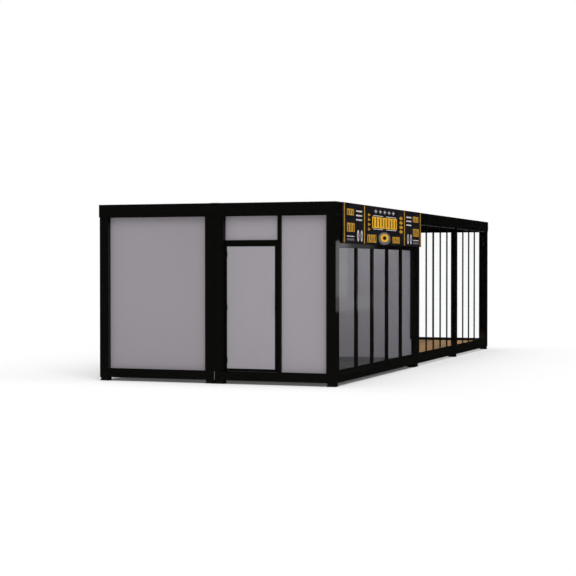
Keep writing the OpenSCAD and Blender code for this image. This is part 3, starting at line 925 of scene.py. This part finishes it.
@dataclass
class SideGlazing:
    """Seals and mullion caps of the room's side, and the trim and skirting on the wall at its end."""

    panes: int = 5
    jamb: float = 0.048
    mullion: float = 0.076
    sill: float = 0.054
    head: float = 0.072
    seal: float = 0.005
    seal_depth: float = 0.003
    rails: tuple[Vector, Vector] = field(default_factory=lambda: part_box("side_rails"))

    @property
    def clear(self) -> Span:
        """Height of the panes' lower and upper edges in sight."""
        return self.rails[0].z + self.sill, self.rails[1].z - self.head

    def openings(self) -> list[Span]:
        """Finds the clear spans of the panes along Y."""
        start, end = PLAN.near + PLAN.post, PLAN.room_end - PLAN.post
        inner = evenly(start + self.jamb, end - self.jamb, self.panes + 1)
        half = self.mullion / 2
        return [
            (low + (half if i else 0.0), high - (half if i < self.panes - 1 else 0.0))
            for i, (low, high) in enumerate(zip(inner, inner[1:]))
        ]

    def seals(self) -> None:
        """Adds the seals on both faces of each pane."""
        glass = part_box("side_glass")
        sill, head = self.clear
        piece = Piece("side_glazing_seals", FINISH.seal)
        for low, high in self.openings():
            for x in (glass[1].x, glass[0].x - self.seal_depth):
                piece.ring((x, low, sill), (x + self.seal_depth, high, head), self.seal, 0.0006)
        piece.done()

    def caps(self, outer: float = 0.021, inner: float = 0.012, inset: float = 0.008) -> None:
        """Adds the clip-on caps of the mullions.

        Args:
            outer: How far the caps outside stand off the mullions.
            inner: How far those inside do.
            inset: How much narrower those inside are, on each side.
        """
        sill, head = self.clear
        spans = self.openings()
        piece = Piece("side_mullion_caps", FINISH.steel)
        for (_, end), (start, _) in zip(spans, spans[1:]):
            for back, front, trim in ((self.rails[0].x - inner, self.rails[0].x, inset),
                                      (self.rails[1].x, self.rails[1].x + outer, 0.0)):
                piece.bar((back, end + trim, sill), (front, start - trim, head), 0.002, 2)
        piece.done()

    def end_trim(self, bead: Span = (0.022, 0.028), strip: Span = (0.030, 0.020),
                 strip_foot: float = 0.56, play: float = 0.001) -> None:
        """Adds the dark upright trim beside the last pane, in the room's far corner.

        Args:
            bead: Width and depth of the bead that runs from the floor to the ceiling.
            strip: Width and depth of the strip beside it.
            strip_foot: Height at which the strip ends.
            play: Gap to the floor and to the ceiling.
        """
        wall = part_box("end_wall_panels")[0].y
        edge, top = self.rails[0].x - bead[0], PLAN.soffit - play
        piece = Piece("room_corner_trim", FINISH.steel)
        piece.bar((edge, wall - bead[1], PLAN.floor_top + play), (edge + bead[0], wall, top), 0.003, 2)
        piece.bar((edge - strip[0], wall - strip[1], strip_foot), (edge, wall, top), 0.003, 2)
        piece.done()

    def skirting(self, height: float = 0.07, depth: float = 0.012) -> None:
        """Adds the skirting under the lining at the end of the room.

        Args:
            height: Its height.
            depth: How far it stands off the wall.
        """
        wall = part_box("end_wall_panels")[0].y
        piece = Piece("room_skirting", FINISH.lining, Slot.PANEL)
        piece.bar((PLAN.left + PLAN.post, wall - depth, PLAN.floor_top),
                  (self.rails[0].x, wall, PLAN.floor_top + height), 0.003, 2)
        piece.done()

    def build(self) -> None:
        """Builds the side's pieces."""
        self.seals()
        self.caps()
        self.end_trim()
        self.skirting()


@dataclass
class SignBoard:
    """The long board over the panes: a dark ground with plain cut shapes laid on it.

    Places on the board are given as (along, up) in metres from its lower corner nearest the door.
    """

    film: float = 0.0006
    ground_back: float = 0.003
    dividers_at: tuple[float, ...] = (0.05, 1.22, 3.88, 5.085)
    screw: Head = Head(0.0045, 0.002, 0.0009, 0.75)
    low: Vector = field(default_factory=lambda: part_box("sign_board")[0])
    high: Vector = field(default_factory=lambda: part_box("sign_board")[1])
    sheets: dict[str, Piece] = field(default_factory=dict)

    @property
    def face(self) -> float:
        """Front of the ground board along X."""
        return self.high.x - self.ground_back

    def sheet(self, finish: Finish) -> Piece:
        """Finds or starts the piece that holds all the shapes of one finish.

        Args:
            finish: The finish.

        Returns:
            The piece.
        """
        if finish.name not in self.sheets:
            self.sheets[finish.name] = Piece(f"{finish.name}_shapes", finish, Slot.SIGN)
        return self.sheets[finish.name]

    def span(self, layer: int) -> Span:
        """Depth of a shape along X, where each layer stands a film's thickness before the last."""
        return self.face - BED, self.face + self.film * layer

    def block(self, finish: Finish, along: Span, up: Span, layer: int = 1) -> None:
        """Adds a rectangle.

        Args:
            finish: Its finish.
            along: Its span along the board.
            up: Its span up the board.
            layer: The layer that it lies in.
        """
        back, front = self.span(layer)
        self.sheet(finish).bar((back, self.low.y + along[0], self.low.z + up[0]),
                               (front, self.low.y + along[1], self.low.z + up[1]), 0.0002)

    def disc(self, finish: Finish, place: Span, size: Span, layer: int = 1, sides: int = 40) -> None:
        """Adds a disc or a regular shape.

        Args:
            finish: Its finish.
            place: Its middle.
            size: Its width and height.
            layer: The layer that it lies in.
            sides: How many sides it has.
        """
        back, front = self.span(layer)
        centre = ((back + front) / 2, self.low.y + place[0], self.low.z + place[1])
        self.sheet(finish).round_bar(centre, 0.5, front - back, Axis.X, 1.0, sides, (1.0, *size))

    def ground(self) -> None:
        """Replaces the plain board by one with a thin folded rim."""
        piece = Piece("sign_ground_board", FINISH.board, Slot.SIGN)
        piece.bar(self.low, (self.face, self.high.y, self.high.z), 0.002, 2)
        made = piece.done()
        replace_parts(made, "sign_board")

    def dividers(self, width: float = 0.045, margin: float = 0.012) -> None:
        """Adds the upright mustard strips between the fields, each with an ochre edge.

        Args:
            width: Width of a strip.
            margin: Its distance from the board's lower and upper edges.
        """
        up = (margin, self.high.z - self.low.z - margin)
        for along in self.dividers_at:
            self.block(FINISH.mustard, (along, along + width), up)
            self.block(FINISH.ochre, (along + width, along + 1.4 * width), up)

    def striped_block(self, along: Span, up: Span, bars: int, share: float = 0.38,
                      ground: Finish = FINISH.mustard) -> None:
        """Adds a block with ochre bars across it.

        Args:
            along: Its span along the board.
            up: Its span up the board.
            bars: How many bars it has.
            share: How wide a bar is, as a share of their pitch.
            ground: The block's own finish.
        """
        self.block(ground, along, up)
        pitch = (along[1] - along[0]) / bars
        for i in range(bars):
            start = along[0] + pitch * (i + 0.5 - share / 2)
            rise = 0.028 if i % 2 else 0.012
            self.block(FINISH.ochre, (start, start + pitch * share), (up[0] + rise, up[1] - 0.04 + rise), 2)

    def centre_field(self) -> None:
        """Lays out the middle field: a wide amber band, lozenges over it and a disc under it."""
        self.striped_block((1.72, 3.36), (0.30, 0.50), 9, 0.34, FINISH.amber)
        for low in (0.275, 0.515):
            for along in ((1.78, 2.42), (2.62, 3.30)):
                self.block(FINISH.pale, along, (low, low + 0.012))
        for i in range(5):
            self.disc(FINISH.dove, (1.95 + 0.29 * i, 0.60), (0.24, 0.085), 1, 4)
            self.disc(FINISH.pale, (1.95 + 0.29 * i, 0.60), (0.11, 0.04), 2, 4)
        self.disc(FINISH.dove, (2.52, 0.12), (0.80, 0.23), 1)
        self.disc(FINISH.amber, (2.52, 0.13), (0.54, 0.15), 2)
        self.disc(FINISH.board, (2.52, 0.13), (0.24, 0.07), 3)
        self.striped_block((1.42, 1.98), (0.035, 0.175), 4)
        self.striped_block((3.06, 3.56), (0.045, 0.165), 4)
        for i in range(4):
            self.disc(FINISH.mustard, (1.52, 0.27 + 0.085 * i), (0.22, 0.07), 1, 3)
            self.disc(FINISH.mustard, (3.66, 0.27 + 0.085 * i), (0.26, 0.07), 1, 6)

    def side_field(self, start: float, end: float, flip: bool) -> None:
        """Lays out one of the narrow fields.

        Args:
            start: Where the field starts along the board.
            end: Where it ends.
            flip: Whether the mustard blocks stand at its far side.
        """
        near, away = (0.52, 0.06) if flip else (0.06, 0.56)

        def at(share: float) -> float:
            """The place along the board at a share of the field's width."""
            return start + share * (end - start)

        self.striped_block((at(near), at(near + 0.42)), (0.20, 0.35), 3)
        self.striped_block((at(near), at(near + 0.38)), (0.48, 0.59), 3)
        for low in (0.40, 0.475, 0.55):
            self.block(FINISH.pale, (at(away), at(away + 0.34)), (low, low + 0.026))
        self.block(FINISH.dove, (at(near), at(near + 0.40)), (0.05, 0.085))
        self.block(FINISH.pale, (at(near), at(near + 0.40)), (0.115, 0.13))
        for share in (0.12, 0.32):
            self.disc(FINISH.pale, (at(away + share), 0.14), (0.12, 0.20), 1, 24)
            self.disc(FINISH.dove, (at(away + share), 0.14), (0.07, 0.11), 2, 24)

    def screws(self, count: int = 9, end: float = 0.025, edge: float = 0.008) -> None:
        """Adds the screws along the board's upper and lower edges.

        Args:
            count: How many each edge has.
            end: Distance of the first and last from the board's ends.
            edge: Their distance from the edge.
        """
        piece = Piece("sign_screws", FINISH.screw, Slot.SIGN)
        for y in evenly(self.low.y + end, self.high.y - end, count):
            for z in (self.low.z + edge, self.high.z - edge):
                piece.head((self.face, y, z), self.screw, Axis.X)
        piece.done(smooth=True)

    def build(self) -> None:
        """Builds the board and everything on it."""
        self.ground()
        self.dividers()
        self.centre_field()
        self.side_field(0.16, 1.20, False)
        self.side_field(3.98, 5.06, True)
        for piece in self.sheets.values():
            piece.done()
        self.screws()


@dataclass
class Terrace:
    """Deck boards, and the guides, lips and rails of the terrace's panes."""

    board_pitch: float = 0.146
    board_gap: float = 0.005
    end_gap: float = 0.004
    joists: int = 5
    screw: Head = Head(0.0038, 0.0012, -0.0001, sides=8)
    screws_at: Span = (0.2, 0.8)
    rail_drop: float = 0.012
    rail_height: float = 0.014
    rail_lap: float = 0.005
    rail_trim: float = 0.012
    deck: tuple[Vector, Vector] = field(default_factory=lambda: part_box("terrace_deck"))

    @property
    def starts(self) -> list[float]:
        """Where the boards start along X, and last where the deck ends."""
        low, high = self.deck[0].x, self.deck[1].x
        return evenly(low, high, round((high - low) / self.board_pitch) + 1)

    def boards(self) -> None:
        """Replaces the plain deck by single boards that run along the terrace."""
        low, high = self.deck
        piece = Piece("deck_boards", FINISH.deck, Slot.DECK)
        for x, end in zip(self.starts, self.starts[1:]):
            piece.bar((x + self.board_gap / 2, low.y + self.end_gap, low.z),
                      (end - self.board_gap / 2, high.y - self.end_gap, high.z), 0.003, 2)
        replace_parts(piece.done(), "terrace_deck")

    def side_guides(self, widths: Span = (0.055, 0.028), depth: float = 0.1, play: float = 0.002) -> None:
        """Adds the guides beside the posts, in which the outer panes' edges stand.

        Args:
            widths: How far a guide reaches from its post, on the long sides and in the gable.
            depth: How far it reaches inwards from the frame's face.
            play: Gap between a guide's two halves and the jamb in its slot.
        """
        piece = Piece("pane_side_guides", FINISH.steel)
        for i, (low, high) in enumerate(islands("terrace_jambs")):
            across = 1 if low.y > PLAN.far - depth else 0
            face = PLAN.far if across else (PLAN.left if low.x < PLAN.middle else PLAN.right)
            inner = face + depth if face == PLAN.left else face - depth
            a, b = low.copy(), high.copy()
            # A bay's first jamb has its post at its low side, and its second at its high side.
            if i % 2:
                a[1 - across] = high[1 - across] - widths[across]
            else:
                b[1 - across] = low[1 - across] + widths[across]
            for edge in (face, inner):
                beyond = edge > high[across]
                a[across] = high[across] + play if beyond else edge
                b[across] = edge if beyond else low[across] - play
                piece.bar(a, b, 0.002)
        piece.done()

    def gasket_lips(self, width: float = 0.014, depth: float = 0.0085) -> None:
        """Adds the soft lips that stand off both faces of each upright joint between panes.

        Args:
            width: Width of a lip along the panes.
            depth: How far it stands off the joint.
        """
        piece = Piece("joint_gasket_lips", FINISH.seal)
        for low, high in islands("terrace_glass_joints"):
            middle = (low + high) / 2
            across = 0 if min(abs(middle.x - PLAN.left), abs(middle.x - PLAN.right)) < 0.1 else 1
            for start in (low[across] - depth, high[across]):
                a, b = low.copy(), high.copy()
                a[across], b[across] = start, start + depth
                a[1 - across] = middle[1 - across] - width / 2
                b[1 - across] = middle[1 - across] + width / 2
                piece.bar(a, b)
        piece.done()

    def deck_screws(self) -> None:
        """Adds two screws where each board crosses a joist."""
        low, high = self.deck
        piece = Piece("deck_screws", FINISH.screw, Slot.DECK)
        for x, end in zip(self.starts, self.starts[1:]):
            for y in evenly(low.y, high.y, self.joists + 2)[1:-1]:
                for share in self.screws_at:
                    piece.head((x + (end - x) * share, y, high.z), self.screw)
        piece.done()

    def pane_rails(self) -> None:
        """Adds the slim rail along the top of each pane, in a light grey that is partly its own colour and
        partly a painted reflection along its underside.
        """
        piece = Piece("pane_top_rails", FINISH.bead)
        top, lap, trim = PLAN.soffit - self.rail_drop, self.rail_lap, self.rail_trim
        for low, high in islands("terrace_glass_right", "terrace_glass_left", "terrace_glass_end"):
            along_y = high.y - low.y > high.x - low.x
            grow = Vector((lap, -trim, 0.0) if along_y else (-trim, lap, 0.0))
            a, b = low - grow, high + grow
            piece.bar((a.x, a.y, top - self.rail_height), (b.x, b.y, top), 0.002, 2)
        piece.done()

    def build(self) -> None:
        """Builds the terrace's pieces."""
        self.boards()
        self.side_guides()
        self.gasket_lips()
        self.deck_screws()
        self.pane_rails()


@dataclass
class Roof:
    """Screws along the ribs of the roof sheets."""

    rib_pitch: float = 0.205
    sheet_top: float = 3.048
    screw_pitch: float = 0.9
    washer: Head = Head(0.009, 0.0014, 0.0005, 0.9)
    screw: Head = Head(0.0045, 0.005, 0.0035, 1.0, 6)

    def build(self) -> None:
        """Adds a hexagonal screw with its washer at regular places on each rib."""
        piece = Piece("roof_screws", FINISH.screw, Slot.ROOF)
        width = (PLAN.right - PLAN.left - PLAN.seam) / 2 - 2 * PLAN.post
        ribs = math.floor(width / self.rib_pitch)
        margin = (width - ribs * self.rib_pitch) / 2
        for node in ("room_roof", "terrace_roof"):
            low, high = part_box(node)
            rows = max(2, round((high.y - low.y) / self.screw_pitch))
            for start in (low.x, high.x - width):
                for rib in range(ribs):
                    x = start + margin + (rib + 0.5) * self.rib_pitch
                    for row in range(rows):
                        y = low.y + (high.y - low.y) * (row + 0.5) / rows
                        for head in (self.washer, self.screw):
                            piece.head((x, y, self.sheet_top), head)
        piece.done()


@dataclass
class Studio:
    """Floor, world, lamps and the camera at the photograph's place.

    The box of the kiosk is low to high. Lamps under the ceiling are given by name, middle along X,
    distance from the wall to the terrace, size along X and Y, and watts. Cards are given by name, span
    along Y, span up and glow.
    """

    low: Vector
    high: Vector
    camera_place: Point = (9.563, -28.883, 1.989)
    camera_tilt: float = -0.01437
    camera_turn: float = 0.345454
    lens: float = 90.81
    floor_reach: float = 90.0
    floor_grey: Colour = (0.92, 0.92, 0.92)
    ambient: float = 0.77
    sun: float = 1.35
    sun_width: float = 40.0
    sun_tilt: float = 38.0
    sun_turn: float = 28.0
    mirrored: float = 0.006
    lift: float = 0.18
    under: Span = (0.08, 0.45)
    fade: Span = (0.12, 3.3)
    lee: float = 2.6
    front_pace: float = 2.5
    ceiling_lamps: tuple[tuple, ...] = (("room_light", 0.0, 2.35, (3.9, 3.0), 56.5),
                                        ("corner_light", 1.6, 0.75, (0.7, 1.0), 6.0))
    card_row: float = 5.866
    cards: tuple[tuple, ...] = (("pale_card_near", (5.4, 6.5), (1.237, 2.64), 0.53),
                                ("pale_card_far", (6.5, 8.7), (1.237, 2.64), 0.14),
                                ("pale_card_low", (5.4, 8.7), (0.88, 1.237), 0.29))

    def camera(self) -> None:
        """Sets the camera."""
        data = bpy.data.cameras.new("camera")
        data.lens, data.sensor_width, data.clip_end = self.lens, 36.0, 400.0
        made = placed("camera", data)
        made.location = self.camera_place
        made.rotation_euler = (math.pi / 2 + self.camera_tilt, 0.0, self.camera_turn)
        bpy.context.scene.camera = made

    @staticmethod
    def _rays(graph: Graph) -> tuple[Socket, Socket]:
        """Tells rays that see a thing directly or through glass from those that a surface has mirrored.

        Args:
            graph: The graph that needs them.

        Returns:
            A mask of the first kind and one of the second.
        """
        path = graph.add("LightPath").outputs
        seen = graph.maths("MAXIMUM", path["Is Camera Ray"], path["Is Transmission Ray"])
        return seen, graph.maths("GREATER_THAN", path["Glossy Depth"], 0.5)

    def world(self) -> None:
        """Makes the world white where it is seen, and a plain soft light elsewhere."""
        world = bpy.data.worlds.new("studio")
        world.use_nodes = True
        graph = Graph(world.node_tree)
        seen, mirrored = self._rays(graph)
        strength = graph.maths("MULTIPLY", graph.span(seen, 0.0, 1.0, self.ambient, 1.0),
                               graph.span(mirrored, 0.0, 1.0, 1.0, self.mirrored))
        graph.feed(world.node_tree.nodes["Background"], Color=(1.0, 1.0, 1.0), Strength=strength)
        bpy.context.scene.world = world

    @staticmethod
    def _sheet(name: str, place: Matrix, paint: bpy.types.Material) -> bpy.types.Object:
        """Lays a flat sheet.

        Args:
            name: Its name.
            place: What brings a square with sides of 1 m there.
            paint: Its material.

        Returns:
            The sheet, which is staged.
        """
        bm = bmesh.new()
        bmesh.ops.create_grid(bm, x_segments=1, y_segments=1, size=0.5, matrix=place)
        mesh = bpy.data.meshes.new(name)
        bm.to_mesh(mesh)
        bm.free()
        mesh.materials.append(paint)
        made = placed(name, mesh)
        made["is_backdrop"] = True
        return made

    @staticmethod
    def _outside(graph: Graph, place: Sockets, low: Point, high: Point, pace: float = 1.0) -> Socket:
        """How far a place on the floor lies outside a box in plan.

        Args:
            graph: The floor material's graph.
            place: The place's coordinates.
            low: Lowest corner of the box.
            high: Highest corner of the box.
            pace: How much faster the distance grows along Y than along X.

        Returns:
            The distance, which is below zero inside the box.
        """
        gaps = []
        for i, rate in ((0, 1.0), (1, pace)):
            offset = graph.maths("SUBTRACT", place[i], (low[i] + high[i]) / 2)
            gap = graph.maths("SUBTRACT", graph.maths("ABSOLUTE", offset), (high[i] - low[i]) / 2)
            gaps.append(graph.maths("MULTIPLY", gap, rate))
        return graph.maths("MAXIMUM", *gaps)

    def _open_ground(self, graph: Graph) -> Socket:
        """How white the floor is seen: hardly at all under the room, some near the kiosk, all away from it.

        Args:
            graph: The floor material's graph.

        Returns:
            The share of white.
        """
        place = graph.split(graph.place())
        edge = graph.span(self._outside(graph, place, self.low, self.high), -0.02, self.fade[0])
        beneath = graph.span(place["Y"], PLAN.room_end - 0.2, PLAN.room_end + 0.2, *self.under)
        close = graph.maths("MULTIPLY_ADD", graph.maths("SUBTRACT", self.lift, beneath), edge, beneath)
        lee = (self.low.x - self.lee, self.low.y, 0.0)
        away = self._outside(graph, place, lee, self.high, self.front_pace)
        return graph.maths("ADD", close, graph.span(away, *self.fade, 0.0, 0.99 - self.lift))

    def floor(self) -> None:
        """Lays the pale floor, which mirrored rays see as dark."""
        paint, graph = painted("studio_floor_paint")
        shader = graph.feed(paint.node_tree.nodes["Principled BSDF"], Base_Color=self.floor_grey,
                            Roughness=0.9, Specular_IOR_Level=0.0)
        seen, mirrored = self._rays(graph)
        white, dark = graph.add("Emission"), graph.feed(graph.add("Emission"), Strength=self.mirrored)
        lifted = graph.mixed(graph.maths("MULTIPLY", seen, self._open_ground(graph)), shader, white)
        graph.show(graph.mixed(mirrored, lifted, dark))
        width = 2 * self.floor_reach
        self._sheet("studio_floor", Matrix.Diagonal((width, width, 1.0, 1.0)), paint)

    def lamps(self) -> None:
        """Adds a wide soft sun from above the right of the door, and soft lamps under the room's ceiling."""
        data = bpy.data.lights.new("soft_sun", "SUN")
        data.energy, data.angle = self.sun, math.radians(self.sun_width)
        turn = (math.radians(self.sun_tilt), 0.0, math.radians(self.sun_turn))
        placed("soft_sun", data).rotation_euler = turn
        for name, x, back, size, watts in self.ceiling_lamps:
            data = bpy.data.lights.new(name, "AREA")
            data.shape, data.size, data.size_y = "RECTANGLE", *size
            data.energy = watts
            made = placed(name, data)
            made.location = (x, PLAN.room_end - back, PLAN.soffit - 0.01)
            self._hide(made, "camera", "glossy", "transmission")

    @staticmethod
    def _hide(thing: bpy.types.Object, *kinds: str) -> None:
        """Hides an object from some kinds of rays."""
        for kind in kinds:
            setattr(thing, f"visible_{kind}", False)

    def card(self, name: str, along: Span, up: Span, glow: float) -> None:
        """Adds a card that only mirrored rays see.

        Args:
            name: Its name.
            along: Its span along Y.
            up: Its span up.
            glow: How bright it is.
        """
        paint, graph = painted(f"{name}_paint")
        graph.show(graph.feed(graph.add("Emission"), Strength=glow))
        middle = Matrix.Translation((self.card_row, sum(along) / 2, sum(up) / 2))
        size = Matrix.Diagonal((1.0, along[1] - along[0], up[1] - up[0], 1.0))
        made = self._sheet(name, middle @ size @ Axis.X.value, paint)
        self._hide(made, "camera", "diffuse", "transmission", "shadow", "volume_scatter")

    def build(self) -> None:
        """Builds the studio."""
        self.camera()
        self.world()
        self.floor()
        self.lamps()
        for card in self.cards:
            self.card(*card)
        bpy.context.scene.view_settings.view_transform = "Standard"


def main() -> None:
    """Builds the studio, the finishes and every group of detail, in order."""
    logging.basicConfig(level=logging.INFO, format="%(name)s: %(message)s")
    cad_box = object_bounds()
    for part in (Studio(*cad_box), DressedFrame(), Seam(), Gable(), DoorLeaf(), SideGlazing(), SignBoard(),
                 Terrace(), Roof()):
        LOG.info("building %s", type(part).__name__)
        part.build()


if __name__ == "__main__":
    main()
